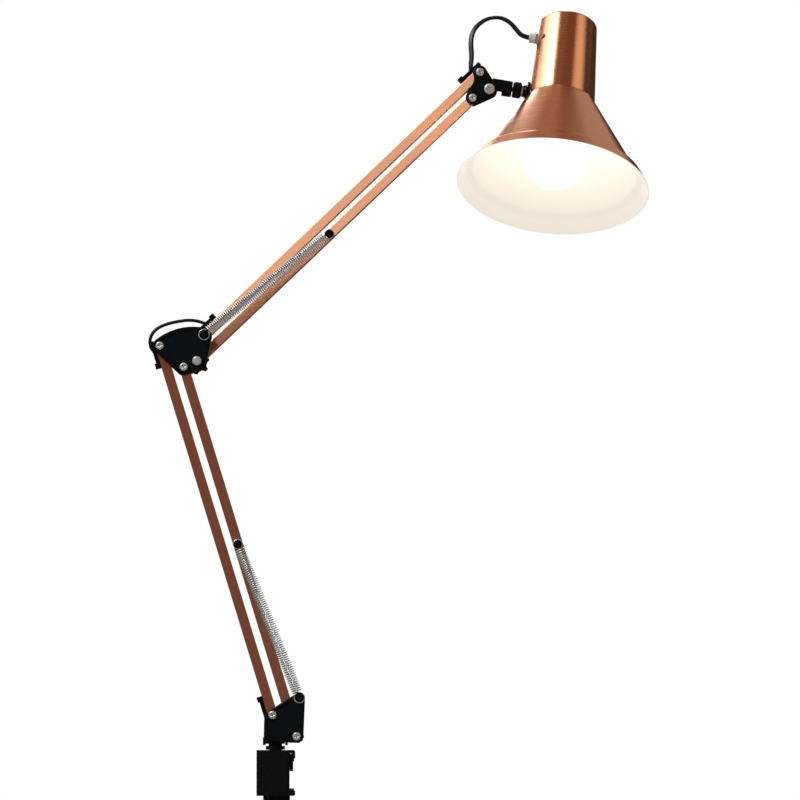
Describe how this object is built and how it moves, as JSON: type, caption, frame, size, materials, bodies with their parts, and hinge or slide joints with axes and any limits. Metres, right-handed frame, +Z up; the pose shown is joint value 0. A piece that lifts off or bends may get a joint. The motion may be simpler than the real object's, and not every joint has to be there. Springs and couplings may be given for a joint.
{
  "type": "architect lamp",
  "caption": "Clamp-on architect lamp with spring-balanced parallel copper channel arms, black plate joints and a swivelling copper cone shade over an opal bulb.",
  "frame": {"origin": "middle of the clamp's seat, where the upper jaw lies on the table top", "axes": "+X along the arm plane towards the shade, +Y from the near side with the springs to the far side with the star knobs, +Z up"},
  "size_m": [0.4588, 0.1808, 0.7308],
  "materials": {
    "clamp_paint": "satin black powder coat",
    "black_plastic": "satin moulded",
    "zinc": "bright zinc plate",
    "chrome": "polished",
    "spring_steel": "drawn wire, bright",
    "copper_bar": "copper plated, satin",
    "copper_shade": "copper plated, brushed round, pale enamel inside",
    "flex": "satin",
    "grey_plastic": "translucent",
    "white_plastic": "satin",
    "brass": "bright",
    "aluminium": "bright",
    "opal_glass": "opal"
  },
  "bodies": {
    "clamp": {"clamp_frame": "clamp_paint"},
    "pad": {"clamp_pad": "black_plastic"},
    "screw": {"clamp_screw": "zinc", "clamp_knob": "black_plastic"},
    "lock": {"lock_screw": "zinc"},
    "base": {"spigot": "zinc", "spigot_pin": "zinc", "base_plate_near": "black_plastic", "base_plate_far": "black_plastic", "base_bushes": "zinc", "base_screw": "zinc", "base_bolt": "zinc", "base_nut": "zinc"},
    "base_grip": {"base_knob": "black_plastic"},
    "lower_outer": {"lower_outer_bar": "copper_bar", "lower_clip_base": "black_plastic", "lower_clip_elbow": "black_plastic", "flex_lower_run": "flex"},
    "lower_inner": {"lower_inner_bar": "copper_bar", "lower_spring_stud": "black_plastic", "lower_spring": "spring_steel"},
    "elbow": {"elbow_plate_near": "black_plastic", "elbow_plate_far": "black_plastic", "elbow_bushes": "zinc", "elbow_screws": "zinc", "elbow_nuts": "zinc", "elbow_bolt": "chrome", "elbow_peg_screw": "zinc", "flex_elbow_loop": "flex"},
    "elbow_grip": {"elbow_knob": "black_plastic"},
    "upper_outer": {"upper_outer_bar": "copper_bar", "upper_clip_elbow": "black_plastic", "upper_clip_head": "black_plastic", "flex_upper_run": "flex"},
    "upper_inner": {"upper_inner_bar": "copper_bar", "upper_spring_stud": "black_plastic", "upper_spring": "spring_steel"},
    "head": {"head_plate_near": "black_plastic", "head_plate_far": "black_plastic", "head_bushes": "zinc", "head_screws": "zinc", "head_nuts": "zinc", "tilt_screw": "zinc", "tilt_nut": "zinc", "flex_head_loop": "flex"},
    "knuckle": {"knuckle": "black_plastic"},
    "shade": {"stem_collar": "black_plastic", "stem_washer": "chrome", "shade_foot": "black_plastic", "shade": "copper_shade", "swivel_bolt": "zinc", "cable_gland": "grey_plastic", "grip_screw": "zinc", "holder_bracket": "zinc", "holder_nut": "zinc", "lamp_holder": "white_plastic", "holder_shell": "brass", "holder_contact": "brass", "bulb_cap": "aluminium", "bulb_glass": "opal_glass"}
  },
  "joints": [
    {"name": "base_swivel", "type": "hinge", "parent": "clamp", "child": "base", "pos_m": [0, -0.0365, 0], "axis": [0, 0, 1], "continuous": true},
    {"name": "lower_arm", "type": "hinge", "parent": "base", "child": "lower_outer", "pos_m": [-0.0025, -0.0365, 0.04], "axis": [0, 1, 0], "range_deg": [-12, 75], "deforming": ["lower_spring", "flex_elbow_loop"]},
    {"name": "lower_inner_follow", "type": "hinge", "parent": "base", "child": "lower_inner", "pos_m": [0.0196, -0.0365, 0.0205], "axis": [0, 1, 0], "range_deg": [-12, 75], "deforming": ["lower_spring", "flex_elbow_loop"]},
    {"name": "elbow_level", "type": "hinge", "parent": "lower_outer", "child": "elbow", "pos_m": [-0.10659, -0.0365, 0.37835], "axis": [0, 1, 0], "range_deg": [-75, 12], "deforming": ["lower_spring", "flex_elbow_loop"]},
    {"name": "upper_arm", "type": "hinge", "parent": "elbow", "child": "upper_outer", "pos_m": [-0.06569, -0.0365, 0.38815], "axis": [0, 1, 0], "range_deg": [-8, 75], "deforming": ["upper_spring", "flex_elbow_loop", "flex_head_loop"]},
    {"name": "upper_inner_follow", "type": "hinge", "parent": "elbow", "child": "upper_inner", "pos_m": [-0.07239, -0.0365, 0.36435], "axis": [0, 1, 0], "range_deg": [-8, 75], "deforming": ["upper_spring", "flex_elbow_loop", "flex_head_loop"]},
    {"name": "head_level", "type": "hinge", "parent": "upper_outer", "child": "head", "pos_m": [0.18765, -0.0365, 0.63109], "axis": [0, 1, 0], "range_deg": [-75, 8], "deforming": ["upper_spring", "flex_elbow_loop", "flex_head_loop"]},
    {"name": "shade_tilt", "type": "hinge", "parent": "head", "child": "knuckle", "pos_m": [0.19635, -0.0365, 0.61529], "axis": [0, 1, 0], "range_deg": [-60, 15], "deforming": ["flex_head_loop"]},
    {"name": "shade_swivel", "type": "hinge", "parent": "knuckle", "child": "shade", "pos_m": [0.19697, -0.0365, 0.61924], "axis": [0.9877, 0, -0.1564], "range_deg": [-65, 110], "deforming": ["flex_head_loop"]},
    {"name": "base_knob_turn", "type": "hinge", "parent": "base", "child": "base_grip", "pos_m": [0.0196, -0.0365, 0.0205], "axis": [0, 1, 0], "range_deg": [0, 360]},
    {"name": "elbow_knob_turn", "type": "hinge", "parent": "elbow", "child": "elbow_grip", "pos_m": [-0.07239, -0.0365, 0.36435], "axis": [0, 1, 0], "range_deg": [0, 360]},
    {"name": "lock_turn", "type": "hinge", "parent": "clamp", "child": "lock", "pos_m": [0, -0.0365, -0.003], "axis": [1, 0, 0], "range_deg": [0, 360]},
    {"name": "clamp_feed", "type": "slide", "parent": "clamp", "child": "pad", "axis": [0, 0, 1], "range_m": [-0.018, 0]},
    {"name": "clamp_turn", "type": "hinge", "parent": "pad", "child": "screw", "pos_m": [0, 0.0115, -0.0066], "axis": [0, 0, 1], "range_deg": [-2161, 0]}
  ],
  "couplings": [
    {"joint": "lower_inner_follow", "follows": "lower_arm", "ratio": 1},
    {"joint": "elbow_level", "follows": "lower_arm", "ratio": -1},
    {"joint": "upper_inner_follow", "follows": "upper_arm", "ratio": 1},
    {"joint": "head_level", "follows": "upper_arm", "ratio": -1},
    {"joint": "clamp_turn", "follows": "clamp_feed", "rad_per_m": 2094.4}
  ]
}
